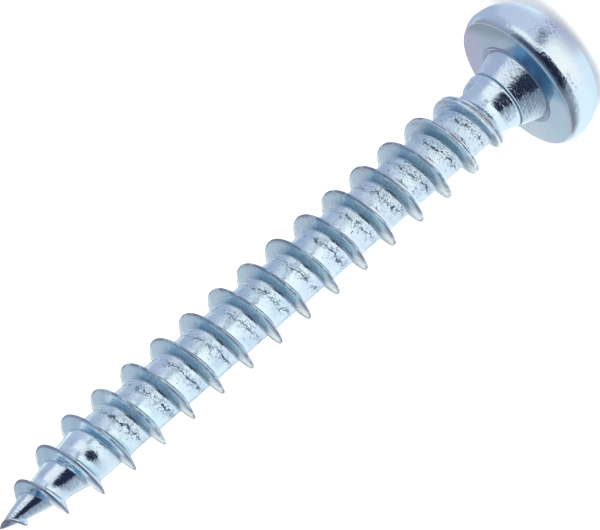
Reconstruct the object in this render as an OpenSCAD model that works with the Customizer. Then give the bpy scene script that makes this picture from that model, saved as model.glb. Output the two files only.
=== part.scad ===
// Pan head wood screw with a full thread, drawn standing on its head, point up.
// The screw's axis is the Z axis, and Z = 0 is the bearing face under the head.

/* [Size] */
// Outer diameter of the thread
thread_d = 6; // [5.6:0.1:6.4]
// Length from the bearing face to the point
length = 50; // [40:1:60]

/* [Thread] */
// Diameter of the core between the turns
core_d = 3.94; // [3.7:0.02:4.2]
// Distance along the axis from one turn to the next
pitch = 2.78; // [2.6:0.02:3.2]
// Angle between the two flanks of a turn
flank_angle = 36; // [28:1:40]
// Width of the flat on the crest of a turn
crest_w = 0.1; // [0.08:0.02:0.24]
// Angle at which the whole thread is turned about the axis
thread_phase = 339; // [0:1:359]

/* [Point] */
// Length over which the core tapers to the point
point_len = 8; // [6:0.2:10]
// Shape of the taper: 1 is a straight cone, and less is a fuller point
point_power = 0.74; // [0.6:0.02:1]
// Length from the point over which the thread rises to its full height
rise_len = 3.8; // [2:0.1:4.5]

/* [Neck] */
// Diameter of the neck where it meets the head
neck_d = 6.2; // [5.8:0.1:6.8]
// Diameter of the collar line at the neck's small end
collar_d = 4.8; // [4.5:0.1:5.2]
// Height of the collar line above the bearing face
collar_z = 2.04; // [1.6:0.02:2.4]
// Height at which the core starts to flare out to the collar line
flare_z = 3.4; // [3:0.1:4]
// Height at which the thread starts to fade towards the head
fade_z = 8; // [6:0.5:10]
// Shape of the fade: 1 is a straight slope, and less keeps the turns high for longer
fade_power = 0.46; // [0.4:0.02:1]

/* [Head] */
// Diameter of the head
head_d = 11.6; // [11.2:0.1:12]
// Height of the head
head_h = 3.92; // [3.6:0.02:4.4]
// Diameter of the flat bearing face
bearing_d = 10.8; // [10.4:0.1:10.9]
// Distance from the bearing face to the widest line of the rim
rim_z = 0.92; // [0.8:0.02:1.2]
// Diameter of the flat land on top of the head
land_d = 7; // [6.8:0.1:7.6]
// Fullness of the shoulder from rim to land: 2 is a plain ellipse
shoulder_power = 2; // [1.8:0.1:2.6]

/* [Drive recess] */
// Span across two opposite wings of the cross recess, at the top of the head
recess_span = 6.3; // [5.8:0.1:6.5]
// Width of a wing at the top of the head
wing_w = 1.3; // [1.1:0.1:1.5]
// Diameter of the round middle of the recess, at the top of the head
recess_core_d = 3.3; // [3:0.1:3.6]
// Depth of the recess
recess_depth = 3; // [2.4:0.1:3.1]
// Size at the foot of the recess as a share of the size at its mouth
recess_taper = 0.5; // [0.4:0.02:0.6]

/* [Hidden] */
// Corners to one turn of the shank, points across one turn, points along a curve of the head
turn_steps = 36;
turn_points = 6;
arc_steps = 8;
// How far the shank runs into the head, and the recess past the head's top
root_in = 0.3;
over = 0.2;
// Height and width of the small step at the collar line
collar_step = 0.06;
// Widening of the crest where the thread has faded out, as a multiple of its width
fade_widening = 3;

core_r = core_d / 2;
fin_full = (thread_d - core_d) / 2;
flank_slope = tan(flank_angle / 2);
thread_z0 = pitch * thread_phase / 360;
fade_end_z = collar_z + crest_w / 2 * (1 + fade_widening);
// First step below the collar line, and last step past the point
first_step = floor((collar_z - thread_z0) / pitch * turn_steps) - turn_steps;
last_step = ceil((length - thread_z0 + pitch / 2) / pitch * turn_steps);

// Radius of the shank without its thread, at height z
function shank_r(z) =
    z >= length ? 0
    : z > length - point_len ? core_r * pow((length - z) / point_len, point_power)
    : z > flare_z ? core_r
    : core_r + (collar_d / 2 - collar_step - core_r) * (flare_z - z) / (flare_z - collar_z);

// Share of its full height that the thread has near the point, and near the head
function rise(z) = min(1, max(0, (length - z) / rise_len));
function fade(z) = pow(min(1, max(0, (z - fade_end_z) / (fade_z - fade_end_z))), fade_power);

// Distances along the axis from the crest's centre to the points across one turn:
// foot, crest, crest, foot and two points on the core before the next turn
function across(z) =
    let (crest = crest_w / 2 * (1 + fade_widening * (1 - fade(z))))
    let (foot = crest + fin_full * rise(z) * fade(z) * flank_slope)
    let (gap = pitch - 2 * foot)
    [-foot, -crest, crest, foot, foot + gap / 3, foot + gap * 2 / 3];

// Point k across the turn, at one step along the helix
function thread_point(step, k) =
    let (crest_z = thread_z0 + pitch * step / turn_steps)
    let (z = min(length, max(collar_z, crest_z + across(crest_z)[k])))
    let (on_crest = (k == 1 || k == 2) && z < length)
    let (r = shank_r(z) + (on_crest ? fin_full * rise(crest_z) * fade(crest_z) : 0))
    let (a = 360 / turn_steps * (step - turn_steps * floor(step / turn_steps)))
    [r * cos(a), r * sin(a), z];

// Index of a thread point, where the point after a turn's last is the next turn's first
function at(step, k) =
    k == turn_points ? at(step + turn_steps, 0) : (step - first_step) * turn_points + k;

// Ring of points round the neck
function ring(r, z) =
    [for (i = [0 : turn_steps - 1])
        let (a = 360 / turn_steps * i)
        [r * cos(a), r * sin(a), z]];

// Two triangles of a four-cornered patch
function patch(a, b, c, d) = [[a, d, c], [a, c, b]];

// A triangle is kept when its corners are three different points
function is_real(p, t) = p[t[0]] != p[t[1]] && p[t[1]] != p[t[2]] && p[t[2]] != p[t[0]];

// Round blank of the head, from the flat bearing face over the rim to the land
module head_blank() {
    head_r = head_d / 2;
    bearing_r = bearing_d / 2;
    land_r = land_d / 2;
    rim_turn = 2 * atan((head_r - bearing_r) / rim_z);
    rim_r = rim_z / sin(rim_turn);
    rim = [for (i = [0 : arc_steps])
        let (a = rim_turn * (1 - i / arc_steps))
        [head_r - rim_r * (1 - cos(a)), rim_r * sin(a) - rim_z]];
    shoulder = [for (i = [1 : arc_steps])
        let (a = 90 * i / arc_steps)
        let (out = i == arc_steps ? 0 : pow(cos(a), 2 / shoulder_power))
        [land_r + (head_r - land_r) * out,
         -rim_z - (head_h - rim_z) * pow(sin(a), 2 / shoulder_power)]];
    rotate_extrude($fn = 96)
        polygon(concat([[0, 0]], rim, shoulder, [[0, -head_h]]));
}

// Cross recess: four tapered wings round a tapered middle with a conical foot
module drive_recess() {
    reach = recess_depth + over;
    mouth = 1 + (1 - recess_taper) * over / recess_depth;
    foot_h = recess_core_d * recess_taper / 4;
    translate([0, 0, -head_h - over]) {
        for (a = [0, 90])
            rotate([0, 0, a])
                linear_extrude(height = reach * 0.86, scale = [recess_taper, 0.8])
                    square([recess_span * mouth, wing_w * mouth], center = true);
        cylinder(h = reach, d1 = recess_core_d * mouth, d2 = recess_core_d * recess_taper, $fn = 48);
        translate([0, 0, reach])
            cylinder(h = foot_h, d1 = recess_core_d * recess_taper, d2 = 0, $fn = 48);
    }
}

// Shank in one skin: the thread wound round the core from the collar line to the point,
// and the neck below it as rings
module shank() {
    wound = [for (s = [first_step : last_step + turn_steps], k = [0 : turn_points - 1])
        thread_point(s, k)];
    neck = concat(
        ring(collar_d / 2, collar_z - collar_step),
        ring(neck_d / 2, 0),
        ring(neck_d / 2, -root_in));
    points = concat(wound, neck);
    neck_at = len(wound);
    skin = [for (s = [first_step : last_step - 1], k = [0 : turn_points - 1])
        each patch(at(s, k), at(s + 1, k), at(s + 1, k + 1), at(s, k + 1))];
    collar = [for (s = [first_step : first_step + turn_steps - 1])
        let (i = s - turn_steps * floor(s / turn_steps), j = (i + 1) % turn_steps)
        each patch(neck_at + i, neck_at + j, at(s + 1, 0), at(s, 0))];
    sides = [for (n = [0, 1], i = [0 : turn_steps - 1])
        let (j = (i + 1) % turn_steps, up = neck_at + n * turn_steps, low = up + turn_steps)
        each patch(low + i, low + j, up + j, up + i)];
    foot = [[for (i = [0 : turn_steps - 1]) neck_at + 2 * turn_steps + i]];
    polyhedron(
        points = points,
        faces = concat([for (t = concat(skin, collar)) if (is_real(points, t)) t], sides, foot),
        convexity = 10);
}

module screw() {
    color([0.72, 0.78, 0.86])
        union() {
            difference() {
                head_blank();
                drive_recess();
            }
            shank();
        }
}

screw();
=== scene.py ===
import math

import bmesh
import bpy
from mathutils import Matrix, Vector


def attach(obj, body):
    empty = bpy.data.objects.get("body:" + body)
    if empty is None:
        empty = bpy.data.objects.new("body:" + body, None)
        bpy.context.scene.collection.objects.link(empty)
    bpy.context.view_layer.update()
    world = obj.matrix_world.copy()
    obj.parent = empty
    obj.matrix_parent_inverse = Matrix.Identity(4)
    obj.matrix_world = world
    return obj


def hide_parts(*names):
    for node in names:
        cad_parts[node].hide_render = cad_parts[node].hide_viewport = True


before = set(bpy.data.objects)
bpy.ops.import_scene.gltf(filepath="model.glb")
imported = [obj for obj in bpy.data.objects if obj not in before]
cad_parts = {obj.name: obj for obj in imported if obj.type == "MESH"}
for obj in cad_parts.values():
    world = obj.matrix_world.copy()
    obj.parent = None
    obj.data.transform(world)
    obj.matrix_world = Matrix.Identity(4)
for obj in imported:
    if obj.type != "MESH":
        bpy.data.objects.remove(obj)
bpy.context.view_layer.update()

# The shank and its thread. The screw is one piece of cold-headed steel wire, and its thread is
# rolled: one right-hand ridge wound from the collar line at the neck to the end of the point.
# Lengths are in millimetres, from the bearing face, until the finished screw is scaled down.
length = 50
core_r = 1.97
ridge_h = 1.03
pitch = 2.78
flank_slope = math.tan(math.radians(18))
crest_half = 0.05
thread_phase = 339
first_crest_z = pitch * thread_phase / 360
point_len = 8
point_power = 0.74
rise_len = 3.8
collar_r = 2.4
collar_z = 2.04
collar_step = 0.06
flare_z = 3.4
fade_z = 8
fade_power = 0.46
# The crest widens where the ridge fades out near the neck
fade_widening = 6
wide_z = 10
fade_end_z = collar_z + crest_half * (1 + fade_widening)
# Half the ridge's width at its foot, and the roundings there and on the crest
foot_half = crest_half + ridge_h * flank_slope
foot_round = 0.1
back_foot_round = 0.12
crest_round = 0.03
# The flank bulges a little, from this share of the ridge's height up
bulge_at = 0.68
bulge_slope = 0.42
bulge_round = 1.2
# The groove rises a little towards the turn above it, and more so near the point
sag = 0.04
sag_reach = 0.8
point_sag = 0.12
point_sag_z = 40
point_sag_run = 3
steps_round = 144
turns = 20


def rounded(corners, steps=4):
    """Points (radius, height) along a line of corners (radius, height, rounding)."""
    points = [Vector(corners[0][:2])]
    for before, here, after in zip(corners, corners[1:], corners[2:]):
        corner = Vector(here[:2])
        back = (Vector(before[:2]) - corner).normalized()
        on = (Vector(after[:2]) - corner).normalized()
        half = back.angle(on) / 2
        centre = corner + (back + on).normalized() * here[2] / math.sin(half)
        arms = [corner + side * here[2] / math.tan(half) - centre for side in (back, on)]
        points += [centre + arms[0].slerp(arms[1], i / steps) * here[2] for i in range(steps + 1)]
    return points + [Vector(corners[-1][:2])]


def swept(mesh, profile, turn, rise, steps):
    """Sweeps a line of points (radius, height) round the screw's axis."""
    verts = [mesh.verts.new((point[0], 0, point[1])) for point in profile]
    edges = [mesh.edges.new(pair) for pair in zip(verts, verts[1:])]
    bmesh.ops.spin(mesh, geom=verts + edges, cent=(0, 0, 0), axis=(0, 0, 1), angle=turn,
                   dvec=(0, 0, rise / steps), steps=steps, use_merge=rise == 0)


def open_loop(mesh, z):
    """The open edges that lie at one height."""
    return [edge for edge in mesh.edges if edge.is_boundary
            and all(abs(vert.co.z - z) < 0.001 for vert in edge.verts)]


def only(kind, items):
    """The vertices, or the edges, of what a bmesh operator returns."""
    return [item for item in items if isinstance(item, kind)]


def share_of(value, start, end):
    """0 at start and before it, and 1 at end and past it."""
    return min(1, max(0, (value - start) / (end - start)))


def core_radius(z):
    """Radius of the shank without its ridge."""
    if z > length - point_len:
        return core_r * (max(0, length - z) / point_len) ** point_power
    flare = max(0, flare_z - z) / (flare_z - collar_z)
    return core_r + (collar_r - collar_step - core_r) * flare


def ridge_share(z):
    """Share of its full height that the ridge has, and half the width of its crest."""
    rise = share_of(z, length, length - rise_len)
    fade = share_of(z, fade_end_z, fade_z) ** fade_power
    widened = share_of(z, wide_z, fade_end_z)
    return rise * fade, crest_half * (1 + fade_widening * widened)


def helix_place(co):
    """Turns from the first crest, and the height above the crest that lies below."""
    turn = math.atan2(co.y, co.x) / (2 * math.pi)
    whole = math.floor((co.z - first_crest_z) / pitch - turn + 0.0001)
    return turn + whole, co.z - first_crest_z - pitch * (turn + whole)


# One turn, from crest to crest, is swept round the axis and copied up the shank
mesh = bmesh.new()
top_r = core_r + ridge_h
groove = rounded([
    (top_r, 0, 0),
    (top_r, crest_half, crest_round),
    (core_r + ridge_h * bulge_at, crest_half + ridge_h * (1 - bulge_at) * bulge_slope, bulge_round),
    (core_r, foot_half, foot_round),
    (core_r, pitch - foot_half, back_foot_round),
    (top_r, pitch - crest_half, crest_round),
    (top_r, pitch, 0)])
floor_points = 8
foot_at = max(i for i, point in enumerate(groove) if point[1] < pitch / 2)
gap = groove[foot_at + 1] - groove[foot_at]
groove[foot_at + 1:foot_at + 1] = [groove[foot_at] + gap * i / floor_points
                                   for i in range(1, floor_points)]
low_crest = first_crest_z - 2 * pitch
swept(mesh, [(point[0], low_crest + point[1]) for point in groove], 2 * math.pi, pitch, steps_round)
one_turn = mesh.verts[:] + mesh.edges[:] + mesh.faces[:]
for turn in range(1, turns):
    copied = bmesh.ops.duplicate(mesh, geom=one_turn)["geom"]
    bmesh.ops.translate(mesh, vec=(0, 0, pitch * turn), verts=only(bmesh.types.BMVert, copied))
bmesh.ops.remove_doubles(mesh, verts=mesh.verts, dist=0.0005)

# Every point then takes its place on the taper, the flare, and the rise and fade of the ridge
for vert in mesh.verts:
    turn, above = helix_place(vert.co)
    nearest = round(above / pitch)
    crest_z = first_crest_z + pitch * (turn + nearest)
    offset = above - nearest * pitch
    share, crest = ridge_share(crest_z)
    foot = crest + ridge_h * share * flank_slope
    reach = abs(offset)
    if reach < crest_half:
        reach *= crest / crest_half
    elif reach < foot_half:
        reach = crest + (reach - crest_half) * (foot - crest) / (foot_half - crest_half)
    else:
        reach = foot + (reach - foot_half) * (pitch / 2 - foot) / (pitch / 2 - foot_half)
    z = crest_z + math.copysign(reach, offset)
    height = (math.hypot(vert.co.x, vert.co.y) - core_r) * share
    near_point = share_of(z, point_sag_z, point_sag_z + point_sag_run)
    sunk = (sag + (point_sag - sag) * near_point) * share
    if above < pitch - foot_half:
        height += sunk * (max(0, above - (pitch - foot_half - sag_reach)) / sag_reach) ** 2
    elif reach > crest:
        height += sunk * (pitch - above) / foot_half
    level = Vector((vert.co.x, vert.co.y, 0)).normalized()
    vert.co = level * (core_radius(z) + height) + Vector((0, 0, z))

# The wound shank is cut off at the collar line, and closed at the end of the point
point_cut = length - 0.01
for cut_z, side in ((collar_z, 1), (point_cut, -1)):
    bmesh.ops.bisect_plane(mesh, geom=mesh.verts[:] + mesh.edges[:] + mesh.faces[:],
                           dist=0.00001, plane_co=(0, 0, cut_z), plane_no=(0, 0, -side),
                           clear_outer=True)
one_step = 2 * math.pi / steps_round
between = {vert for edge in open_loop(mesh, collar_z) for vert in edge.verts
           if abs(math.remainder(math.atan2(vert.co.y, vert.co.x), one_step)) > 0.0001}
bmesh.ops.dissolve_verts(mesh, verts=list(between))
bmesh.ops.pointmerge(
    mesh, verts=list({vert for edge in open_loop(mesh, point_cut) for vert in edge.verts}),
    merge_co=(0, 0, length))

# The neck and the head, upset from the same wire: a cone below the collar line, a small raised
# ring where it meets the flat bearing face, and the low pan of the head under that.
neck_r = 3.02
ring_r = 3.28
ring_h = 0.05
bearing_r = 5.4
head_r = 5.8
head_h = 3.92
rim_z = 0.92
land_r = 3.5
arc_steps = 16
# Below the collar line: the join to the shank, a short upright, a lip out, and a bead
collar_join = 0.01
collar_cut = 0.06
collar_lip = 0.11
bead = 0.06
# The rim leans out under the bearing face, and is almost upright at its lower end
rim_edge = math.radians(27)
rim_low = math.radians(10)
edge_z = 0.09
rim_low_z = 0.82
rim_low_in = 0.017
rim_turn_in = 0.004
rim_steps = arc_steps - 3
rim = [Vector((bearing_r, 0)), Vector((bearing_r + edge_z * math.tan(rim_edge), -edge_z))]
for i in range(rim_steps):
    a = rim_edge + (rim_low - rim_edge) * (i + 0.5) / rim_steps
    rim.append(rim[-1] + Vector((math.tan(a), -1)) * (rim_low_z - edge_z) / rim_steps)
stretch = (head_r - rim_low_in - bearing_r) / (rim[-1].x - bearing_r)
rim = [(bearing_r + (point.x - bearing_r) * stretch, point.y) for point in rim]
rim += [(head_r - rim_turn_in, -(rim_low_z + rim_z) / 2), (head_r, -rim_z)]
line_r = collar_r - collar_step
line_z = collar_z - collar_cut
neck = rounded([
    (line_r, collar_z - collar_join, 0),
    (line_r, line_z, 0.03),
    (line_r + collar_lip, line_z - collar_lip, 0.03),
    (line_r + collar_lip, line_z - collar_lip - bead, 0.015),
    (neck_r, ring_h - 0.03, 0.05),
    (ring_r, ring_h, 0.02),
    (ring_r + ring_h, 0, 0.02),
    (bearing_r, 0, 0.1),
    (*rim[1], 0)])
shoulder = [(land_r + (head_r - land_r) * math.cos(a), -rim_z - (head_h - rim_z) * math.sin(a))
            for a in (math.radians(90 * i / arc_steps) for i in range(1, arc_steps + 1))]
swept(mesh, neck + rim[2:] + shoulder, 2 * math.pi, 0, steps_round)
bmesh.ops.bridge_loops(
    mesh, edges=open_loop(mesh, collar_z) + open_loop(mesh, collar_z - collar_join))

# The drive recess, punched into the top of the head: a plain cross of four tapered wings round
# a tapered middle that ends in a shallow cone. The photo hides it.
wing_reach = 3.15
wing_half = 0.65
wing_depth = 2.55
middle_r = 1.65
recess_depth = 3
# Sizes at the foot of the recess, as shares of those at its mouth
foot_share = 0.5
wing_foot_share = 0.8
arc_points = 7
edge_round = 0.05


def cross(depth):
    """Points round the recess at one depth: the two corners of a wing, an arc, the next wing."""
    reach = wing_reach * (1 - (1 - foot_share) * depth / wing_depth)
    half = wing_half * (1 - (1 - wing_foot_share) * depth / wing_depth)
    middle = middle_r * (1 - (1 - foot_share) * depth / recess_depth)
    corner = math.asin(half / middle)
    span = (math.pi / 2 - 2 * corner) / (arc_points - 1)
    arc = [corner + span * i for i in range(arc_points)]
    line = [Vector((reach, -half, depth - head_h)), Vector((reach, half, depth - head_h))]
    line += [Vector((middle * math.cos(a), middle * math.sin(a), depth - head_h)) for a in arc]
    return [Matrix.Rotation(math.pi / 2 * k, 3, "Z") @ point for k in range(4) for point in line]


def closed_line(points):
    """The vertices and the edges of a new ring through the points."""
    verts = [mesh.verts.new(point) for point in points]
    return verts, [mesh.edges.new(pair) for pair in zip(verts, verts[1:] + verts[:1])]


mouth = closed_line(cross(0))[1]
foot_verts, foot = closed_line(cross(wing_depth))
bmesh.ops.triangle_fill(mesh, use_beauty=True, edges=mouth + open_loop(mesh, -head_h))
bmesh.ops.bridge_loops(mesh, edges=mouth + foot)
per_wing = 2 + arc_points
for k in range(4):
    mesh.faces.new([foot_verts[k * per_wing + i] for i in (-1, 0, 1, 2)])
sunk = bmesh.ops.extrude_edge_only(mesh, edges=open_loop(mesh, wing_depth - head_h))["geom"]
for vert in only(bmesh.types.BMVert, sunk):
    level = Vector((vert.co.x, vert.co.y, 0)).normalized() * middle_r * foot_share
    vert.co = level + Vector((0, 0, recess_depth - head_h))
middle_foot = [edge for edge in only(bmesh.types.BMEdge, sunk) if edge.is_boundary]
cone = bmesh.ops.extrude_edge_only(mesh, edges=middle_foot)["geom"]
bmesh.ops.pointmerge(mesh, verts=only(bmesh.types.BMVert, cone),
                     merge_co=(0, 0, recess_depth - head_h + middle_r * foot_share / 2))
bmesh.ops.bevel(mesh, geom=mouth, offset=edge_round, segments=2, affect="EDGES", profile=0.5,
                material=-1)

# The finished screw: one skin, with a map that follows the thread, since the marks of rolling
# do. U counts turns and V is the height above the crest below, in millimetres.
bmesh.ops.dissolve_degenerate(mesh, dist=0.00005, edges=mesh.edges)
# A known fault: after this the faces point inwards, all of them. The relief was matched to the
# photo in that state, so turning the faces also changes the fine lines along the thread.
bmesh.ops.recalc_face_normals(mesh, faces=mesh.faces)
helix_map = mesh.loops.layers.uv.new("helix")
for face in mesh.faces:
    face.smooth = True
    turn, above = helix_place(face.calc_center_median())
    for loop in face.loops:
        co = loop.vert.co
        off = math.atan2(co.y, co.x) / (2 * math.pi) - turn
        loop_turn = turn + off - round(off)
        loop[helix_map].uv = (loop_turn, co.z - first_crest_z - pitch * loop_turn)
sharp = math.radians(40)
for edge in mesh.edges:
    edge.smooth = edge.calc_face_angle(0) < sharp
bmesh.ops.scale(mesh, vec=(0.001, 0.001, 0.001), verts=mesh.verts)
data = bpy.data.meshes.new("pan_head_wood_screw")
mesh.to_mesh(data)
mesh.free()
screw = bpy.data.objects.new("pan_head_wood_screw", data)
bpy.context.collection.objects.link(screw)
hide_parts("screw")
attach(screw, "root")

# The finish: bright zinc with a pale blue passivation. It is smooth on the neck and the point,
# and between the turns the rolling has left it crinkled, with a broken dark fold along the
# groove's middle. Crests and tip are worn duller. Painted sheen and reflection lie on the flat
# under the head, and painted shade and light on the flanks, the rim and the neck's cone.
metal = bpy.data.materials.new("zinc_plated_steel")
metal.use_nodes = True
metal.node_tree.nodes.clear()


class Value:
    """A socket of a node tree. Arithmetic on it adds Math nodes."""

    def __init__(self, tree, socket=None):
        self.tree = tree
        self.socket = socket

    def node(self, kind, settings, inputs, out=0):
        """Adds a node: its settings first, then the values or links of its sockets."""
        made = self.tree.nodes.new("ShaderNode" + kind)
        for name, setting in settings.items():
            setattr(made, name, setting)
        for name, given in inputs.items():
            if isinstance(given, Value):
                self.tree.links.new(given.socket, made.inputs[name])
            else:
                made.inputs[name].default_value = given
        return Value(self.tree, made.outputs[out] if made.outputs else None)

    def math(self, operation, *others):
        return self.node("Math", {"operation": operation}, dict(enumerate((self, *others))))

    def vector(self, operation, *others, out=0):
        return self.node("VectorMath", {"operation": operation},
                         dict(enumerate((self, *others))), out)

    def __add__(self, other):
        return self.math("ADD", other)

    def __sub__(self, other):
        return self.math("SUBTRACT", other)

    def __rsub__(self, other):
        return self.node("Math", {"operation": "SUBTRACT"}, {0: other, 1: self})

    def __mul__(self, other):
        return self.math("MULTIPLY", other)

    __radd__ = __add__
    __rmul__ = __mul__

    def step(self, low, high):
        """0 below low, 1 above high, and smooth between them."""
        return self.node("MapRange", {"interpolation_type": "SMOOTHSTEP"},
                         {"Value": self, "From Min": low, "From Max": high})

    def below(self, low, high):
        """1 below low, 0 above high, and smooth between them."""
        return 1 - self.step(low, high)

    def band(self, low, high, top_low, top_high):
        """0 below low, 1 from high to top_low, and 0 above top_high."""
        return self.step(low, high) * self.below(top_low, top_high)

    def along(self, azimuth):
        """This vector's part along the level way at so many degrees from the front towards -X."""
        a = math.radians(azimuth)
        return self.vector("DOT_PRODUCT", (-math.sin(a), -math.cos(a), 0), out="Value")

    def blend(self, low, high):
        """Colour low where this is 0, and high where it is 1."""
        low, high = (colour if isinstance(colour, Value) else (*colour, 1)
                     for colour in (low, high))
        return self.node("Mix", {"data_type": "RGBA"}, {0: self, 6: low, 7: high}, 2)

    def painted(self, *layers):
        """This colour with layers over it, each a mask and the colour that it shows."""
        seen = self
        for mask, colour in layers:
            seen = mask.blend(seen, colour)
        return seen


start = Value(metal.node_tree)
place = start.node("TexCoord", {}, {}, "Object")
in_mm = start.node("VectorMath", {"operation": "SCALE"}, {0: place, "Scale": 1000})
z = start.node("SeparateXYZ", {}, {0: in_mm}, "Z")
helix = start.node("UVMap", {"uv_map": "helix"}, {})
above_crest = start.node("SeparateXYZ", {}, {0: helix}, "Y")
from_axis = in_mm.vector("MULTIPLY", (1, 1, 0))
radius = from_axis.vector("LENGTH", out="Value")
outward = from_axis.vector("NORMALIZE")


def noise(scale, detail=3, roughness=0.55, squeeze=(1, 1, 1)):
    """Noise from 0 to 1, with so many lumps to a millimetre."""
    placed = start.node("Mapping", {}, {"Vector": in_mm, "Scale": squeeze})
    return start.node("TexNoise", {}, {"Vector": placed, "Scale": scale, "Detail": detail,
                                       "Roughness": roughness})


# Where things are, by the height along the screw and the height above the crest below
on_thread = z.band(3.4, 4.4, 40.4, 41.4)
in_groove = above_crest.band(0.42, 0.6, 2.0, 2.3) * on_thread
on_flank = on_thread * above_crest.below(0.38, 0.42)
on_cone = z.band(0.02, 0.1, 1.9, 2.0)
under_head = z.band(-0.05, -0.02, 0.02, 0.05)
on_rim = z.band(-1.2, -0.8, -0.05, -0.02)
on_head = z.below(-1.2, -0.9)
near_neck = z.below(14, 20)

# Marks of rolling: the broken fold, fine creases beside it, and pits that are denser by the neck
fold_middle = above_crest - 1.15 - (noise(1.1, 4, 0.6) - 0.5) * 1.3
off_fold = fold_middle.math("ABSOLUTE")
blob = noise(1.5, 2).step(0.5, 0.7)
fold = off_fold.below(0.02, blob * 0.27 + 0.045) * noise(1.9, 1).step(0.42, 0.52)
level_line = noise(2.4, 3, 0.6) - 0.5
creases = level_line.math("ABSOLUTE").below(0.008, 0.03) * off_fold.below(0.1, 0.5)
pits = noise(5, 2).step(0.66, 0.74) * (near_neck * 0.7 + 0.3)
marks_and_front_shade = fold.math("MAXIMUM", pits.math("MAXIMUM", creases * 0.35)) * in_groove
# Painted shade: the marks are darker on the side towards the front and fainter round the back
marks_and_front_shade = marks_and_front_shade * (outward.along(8).step(0.5, 0.9) * 0.6 + 0.4)

# Wear on the crests; painted shade at the feet and backs of the flanks, on the rim and the cone;
# dark patches on the head, and dark lines round the neck
crest_line = above_crest.below(0.06, 0.14).math("MAXIMUM", above_crest.step(2.68, 2.72))
worn = crest_line * noise(1.2, 2).step(0.35, 0.55).math("MAXIMUM", z.step(40, 42))
worn = worn * z.step(2.5, 3.5)
# Painted shade: the feet of the tip-facing flanks, darker towards the front
flank_foot_shade = on_thread * above_crest.below(0.46, 0.56) * outward.along(20).step(-0.2, 0.5)
foot_line = flank_foot_shade * above_crest.step(0.34, 0.38)
# Painted shade: a dark cyan band at the foot of the head-facing flanks near the point, on the front
back_foot_shade = above_crest.band(2.0, 2.3, 2.40, 2.44) * z.band(38, 40, 45, 46)
back_foot_shade = back_foot_shade * outward.along(30).step(0.7, 0.95)
# Painted shade: the head-facing flanks are darker
back_flank_shade = above_crest.step(2.38, 2.42) * z.step(7, 10) * on_thread
# Dark patches in two narrow wedges near the front of the head, broken up by noise
head_front_patches = outward.along(24).step(0.986, 0.998) * z.band(-1.5, -1.1, -0.8, -0.6)
head_front_patches = outward.along(-16).step(0.984, 0.997) * on_head * 0.8 + head_front_patches
head_front_patches = head_front_patches * noise(5, 2, 0.5).step(0.44, 0.66)
ring_lines = radius.band(3.0, 3.05, 3.10, 3.18)
ring_lines = ring_lines.math("MAXIMUM", radius.band(3.24, 3.28, 3.36, 3.42))
ring_lines = ring_lines * 0.5 + radius.band(3.0, 3.1, 3.3, 3.5) * 0.4
ring_lines = ring_lines * z.band(-0.02, -0.01, 0.08, 0.16)
# Painted shade round the upper part of the rim, just under the bearing face
rim_top_shade = z.band(-0.5, -0.2, -0.05, -0.03)
# Painted shade: a dark band across the front of the rim
rim_front_shade = z.band(-0.6, -0.4, -0.24, -0.16) * in_mm.along(-2).step(4.5, 5.4)
# Painted shade on the neck's cone, on the side 44 degrees from the front
cone_side_shade = on_cone * outward.along(44).step(0.70, 0.95)
collar_line = z.band(1.86, 1.92, 1.99, 2.03)
mottle = noise(0.9, 4, 0.6).step(0.42, 0.62) * (in_groove + 0.35)

# Colours: the painted sheen and reflection on the flat under the head, then the passivation,
# what lies on it, and the painted shade and light
# Painted sheen: tints laid by direction; the teal on the front is a painted reflection of the neck
sheen_and_reflection_under_head = noise(0.5, 2).step(0.42, 0.58).blend((0.96, 0.92, 1.0), (0.90, 1.0, 0.99)).painted(
    (in_mm.along(-60).step(-1.0, 3.5), (0.78, 0.76, 0.81)),
    (in_mm.along(-125).step(2.4, 4.4), (0.94, 0.75, 0.87)),
    (in_mm.along(-60).step(3.8, 5.0), (0.55, 0.56, 0.56)),
    (outward.along(2).step(0.74, 0.92), (0.46, 0.62, 0.76)))
passivation = noise(0.35, 2).step(0.35, 0.65).blend((0.82, 0.93, 0.965), (0.83, 0.90, 0.965))
colour = passivation.painted(
    (mottle * 0.6, (0.68, 0.79, 0.89)),
    (under_head, sheen_and_reflection_under_head),
    (ring_lines, (0.42, 0.40, 0.50)),
    (rim_top_shade * 0.6, (0.58, 0.56, 0.62)),
    (rim_front_shade * 0.9, (0.18, 0.20, 0.28)),
    # Painted light and shade: the tip-facing flanks are lightened, and their feet darkened
    (on_flank * z.below(38, 40), (0.93, 0.99, 1.0)),
    (flank_foot_shade * above_crest.step(0.20, 0.40), (0.48, 0.59, 0.66)),
    (back_foot_shade * 0.8, (0.44, 0.62, 0.68)),
    (back_flank_shade, (0.40, 0.52, 0.60)),
    (worn, (0.44, 0.46, 0.53)),
    (z.step(48.8, 49.8), (0.72, 0.66, 0.68)),
    (head_front_patches * 0.8, (0.34, 0.38, 0.46)),
    (cone_side_shade * 0.9, (0.58, 0.67, 0.75)),
    (collar_line, (0.46, 0.56, 0.64)),
    (marks_and_front_shade, (0.14, 0.17, 0.24)))

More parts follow.
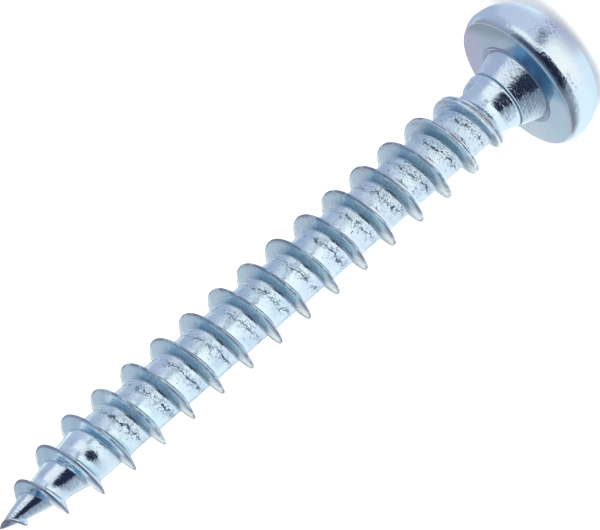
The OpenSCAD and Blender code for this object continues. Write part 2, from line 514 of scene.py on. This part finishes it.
# Relief, in millimetres: grain, a slow undulation, fine ridges on the fading thread, the crinkle
# between the turns, and the marks
grain_h = (1 - under_head) * 0.009 + on_cone * 0.013 + on_rim * 0.006 + on_head * 0.016
grain_h = grain_h + z.step(47.8, 48.8) * 0.02 + 0.005
undulation_h = (1 - under_head) * 0.02 + 0.01
relief = noise(5, 3, 0.55, (0.8, 0.8, 1.2)) * grain_h + noise(1.4, 1) * undulation_h
ridges_a_turn = 16
ridges = (above_crest * (2 * math.pi / pitch * ridges_a_turn)).math("SINE")
by_crest = above_crest.below(0.18, 0.3).math("MAXIMUM", above_crest.step(2.48, 2.6))
relief = relief + ridges * by_crest * z.band(2.1, 2.6, 8, 10) * 0.012
crinkle_h = in_groove * (near_neck * 0.06 + 0.05) + on_flank * 0.03
relief = relief + crinkle_h * noise(2.2, 5, 0.62) - marks_and_front_shade * 0.07
bump = start.node("Bump", {}, {"Height": relief, "Distance": 0.001, "Strength": 1.0})

# Roughness, and the chalky edge between the bearing face and the rim
roughness = 0.11 + in_groove * 0.06 + marks_and_front_shade * 0.3 + worn * 0.2 + foot_line * 0.22
roughness = roughness + z.step(48.6, 49.4) * 0.3
chalky = z.band(-0.14, -0.08, -0.03, -0.01) * 0.22
surface = start.node("BsdfPrincipled", {}, {"Base Color": colour, "Metallic": 1 - chalky,
                                            "Roughness": roughness, "Normal": bump})
start.node("OutputMaterial", {}, {"Surface": surface})
data.materials.append(metal)

# The floor: a pale sheet that the screw's head stands on, seen only from above. To the camera it
# is white, with the screw's soft shadow on it. In the metal it shows tinted light and shade that
# go by direction and by millimetres from the screw's axis, with a painted shadow under the head.
floor_half = 3.0
floor_gap = 0.00001
floor_mesh = bmesh.new()
bmesh.ops.create_grid(floor_mesh, x_segments=1, y_segments=1, size=floor_half)
bmesh.ops.translate(floor_mesh, vec=(0, 0, -head_h / 1000 - floor_gap), verts=floor_mesh.verts)
floor_data = bpy.data.meshes.new("floor")
floor_mesh.to_mesh(floor_data)
floor_mesh.free()
floor = bpy.data.objects.new("floor", floor_data)
bpy.context.collection.objects.link(floor)

paper = bpy.data.materials.new("white_paper")
paper.use_nodes = True
paper.node_tree.nodes.clear()
start = Value(paper.node_tree)
level = start.node("TexCoord", {}, {}, "Object").vector("MULTIPLY", (1, 1, 0))
outward = level.vector("NORMALIZE")
away = level.vector("LENGTH", out="Value") * 1000
rear = outward.along(180)
deep_shadow = (0.018, 0.026, 0.058)
# Painted shadow: in the metal the paper is darker under the screw's head
painted_shadow_under_screw = outward.along(-10).step(0.82, 1.0).blend((0.68, 0.79, 0.90), (0.46, 0.49, 0.61))
mirrored_light_and_shade = away.step(17, 22).blend((0.90, 0.90, 0.90), (0.90, 0.98, 1.0)).painted(
    (outward.along(85).step(0.4, 0.9), (0.78, 0.87, 0.95)),
    (outward.along(-113).step(-0.1, 1.0), (0.38, 0.45, 0.60)),
    (outward.along(-29).step(0.982, 0.9985) * away.step(17, 24), (0.36, 0.41, 0.47)),
    (away.below(4.6, 8), painted_shadow_under_screw),
    (outward.along(-48).step(0.66, 0.92) * away.band(4.8, 6.2, 12, 22) * 0.9, (0.50, 0.55, 0.72)),
    (outward.along(-20).step(0.994, 0.9985) * away.band(5.6, 7.2, 15, 18), (0.28, 0.32, 0.38)),
    (away.step(150, 300) * 0.55, (0.50, 0.60, 0.70)),
    (outward.along(-155).step(0.86, 0.96) * away.step(80, 150), (0.72, 0.88, 1.0)),
    (rear.step(0.50, 0.75) * away.band(25, 60, 110, 180), (0.66, 0.76, 0.85)),
    (rear.step(0.86, 0.94) * away.step(60, 140), (0.30, 0.35, 0.38)),
    (outward.along(17).step(0.95, 0.98) * away.step(350, 600), deep_shadow))
matt = start.node("BsdfDiffuse", {}, {"Color": (1, 1, 1, 1)})
lift = start.node("Emission", {}, {"Color": (1, 1, 1, 1), "Strength": 0.12})
seen = start.node("AddShader", {}, {0: matt, 1: lift})
mirrored = start.node("Emission", {}, {"Color": mirrored_light_and_shade, "Strength": 1.12})
glossy_ray = start.node("LightPath", {}, {}, "Is Glossy Ray")
from_above = start.node("MixShader", {}, {0: glossy_ray, 1: seen, 2: mirrored})
underneath = start.node("NewGeometry", {}, {}, "Backfacing")
clear = start.node("BsdfTransparent", {}, {"Color": (1, 1, 1, 1)})
either = start.node("MixShader", {}, {0: underneath, 1: from_above, 2: clear})
start.node("OutputMaterial", {}, {"Surface": either})
floor_data.materials.append(paper)

# The studio: white all round for the floor and the camera, and for the metal a dim room over
# the bright table, with pale windows low down, teal overhead and a dark patch in front. A soft
# round lamp high on the left gives the floor its shadow.
world = bpy.data.worlds.new("studio")
bpy.context.scene.world = world
world.use_nodes = True
world.node_tree.nodes.clear()
world.cycles.sampling_method = "NONE"
start = Value(world.node_tree)
ray = start.node("TexCoord", {}, {}, "Generated")
up = ray.vector("DOT_PRODUCT", (0, 0, 1), out="Value")
outward = ray.vector("MULTIPLY", (1, 1, 0)).vector("NORMALIZE")
rear = outward.along(180)
doorway = outward.along(160).step(0.92, 0.98)
pale_strip = up.step(0.55, 0.72).blend((0.43, 0.54, 0.66), (0.40, 0.48, 0.59))
overhead = up.step(0.80, 0.96).blend((0.14, 0.28, 0.41), (0.05, 0.11, 0.20))
dark = (up - (0.94 - outward.along(17)) * 3.6).step(-0.08, 0.08) * up.step(-0.05, -0.01)
left_dark = outward.along(-30).step(0.74, 0.88) * up.step(0.36, 0.52)
dark = dark.math("MAXIMUM", left_dark) * up.below(0.44, 0.60)
room = outward.along(-85).step(0.2, 0.9).blend((0.26, 0.30, 0.37), (0.40, 0.46, 0.61)).painted(
    (rear.step(0.5, 0.75), (0.34, 0.38, 0.46)),
    (rear.step(0.92, 0.98), (0.42, 0.54, 0.65)),
    (outward.along(-162).step(0.982, 0.995), pale_strip),
    (outward.along(-42).step(0.80, 0.97) * up.below(0.14, 0.44), (0.93, 0.98, 1.0)),
    (outward.along(95).step(0.60, 0.90) * up.below(0.06, 0.22), (0.45, 0.52, 0.61)),
    (doorway * up.below(0.26, 0.42), (0.66, 0.70, 0.73)),
    (doorway * up.step(0.50, 0.62), (0.32, 0.36, 0.42)),
    (rear.step(0.80, 0.92) * up.below(0.11, 0.26), (0.88, 0.93, 0.95)),
    (up.step(0.46, 0.72) * rear.below(0.5, 0.75), overhead),
    (outward.along(-100).step(0.72, 0.94) * up.band(0.52, 0.64, 0.80, 0.90), (0.22, 0.39, 0.56)),
    (outward.along(100).step(0.80, 0.94) * up.band(0.38, 0.46, 0.60, 0.76), (0.34, 0.48, 0.55)),
    (dark, deep_shadow),
    (up.step(0.972, 0.988), (0.32, 0.40, 0.55)))
plain = start.node("Background", {}, {"Color": (1, 1, 1, 1), "Strength": 1.0})
mirrored = start.node("Background", {}, {"Color": room, "Strength": 1.0})
glossy_ray = start.node("LightPath", {}, {}, "Is Glossy Ray")
either = start.node("MixShader", {}, {0: glossy_ray, 1: plain, 2: mirrored})
start.node("OutputWorld", {}, {"Surface": either})

lamp = bpy.data.lights.new("soft_box", "AREA")
lamp.shape = "DISK"
lamp.size = 0.25
lamp.energy = 0.6
lamp_at = Vector((-0.1, -0.1, 0.35))
lit_point = Vector((0, 0, 0.02))
soft_box = bpy.data.objects.new("soft_box", lamp)
soft_box.location = lamp_at
soft_box.rotation_euler = (lit_point - lamp_at).to_track_quat("-Z", "Y").to_euler()
soft_box.visible_glossy = False
bpy.context.collection.objects.link(soft_box)

# The camera: the photograph's own, found from the outline and the turns. It looks down on the
# standing screw, and is rolled so that the screw lies across the picture, head to the right.
tilt = math.radians(18.41)
roll = math.radians(40.71)
distance = 0.2440
middle = Vector((0, 0, 0.02474))
picture_w = 600
picture_h = 530
middle_x = 269.37
middle_y = 297.26
px_per_m = 14275.8
off_right = (middle_x - picture_w / 2) / px_per_m
off_up = (picture_h / 2 - middle_y) / px_per_m
back = Vector((0, -math.cos(tilt), math.sin(tilt)))
headward = Vector((0, -math.sin(tilt), -math.cos(tilt)))
aside = headward.cross(back)
right = headward * math.cos(roll) + aside * math.sin(roll)
upward = headward * math.sin(roll) - aside * math.cos(roll)
lens = bpy.data.cameras.new("camera")
lens.sensor_width = 36
lens.lens = lens.sensor_width * px_per_m * distance / picture_w
lens.clip_start = 0.01
lens.clip_end = 20
camera = bpy.data.objects.new("camera", lens)
turned = Matrix((right, upward, back)).transposed().to_4x4()
turned.translation = middle + back * distance - right * off_right - upward * off_up
camera.matrix_world = turned
bpy.context.collection.objects.link(camera)
bpy.context.scene.camera = camera
bpy.context.scene.view_settings.view_transform = "Standard"
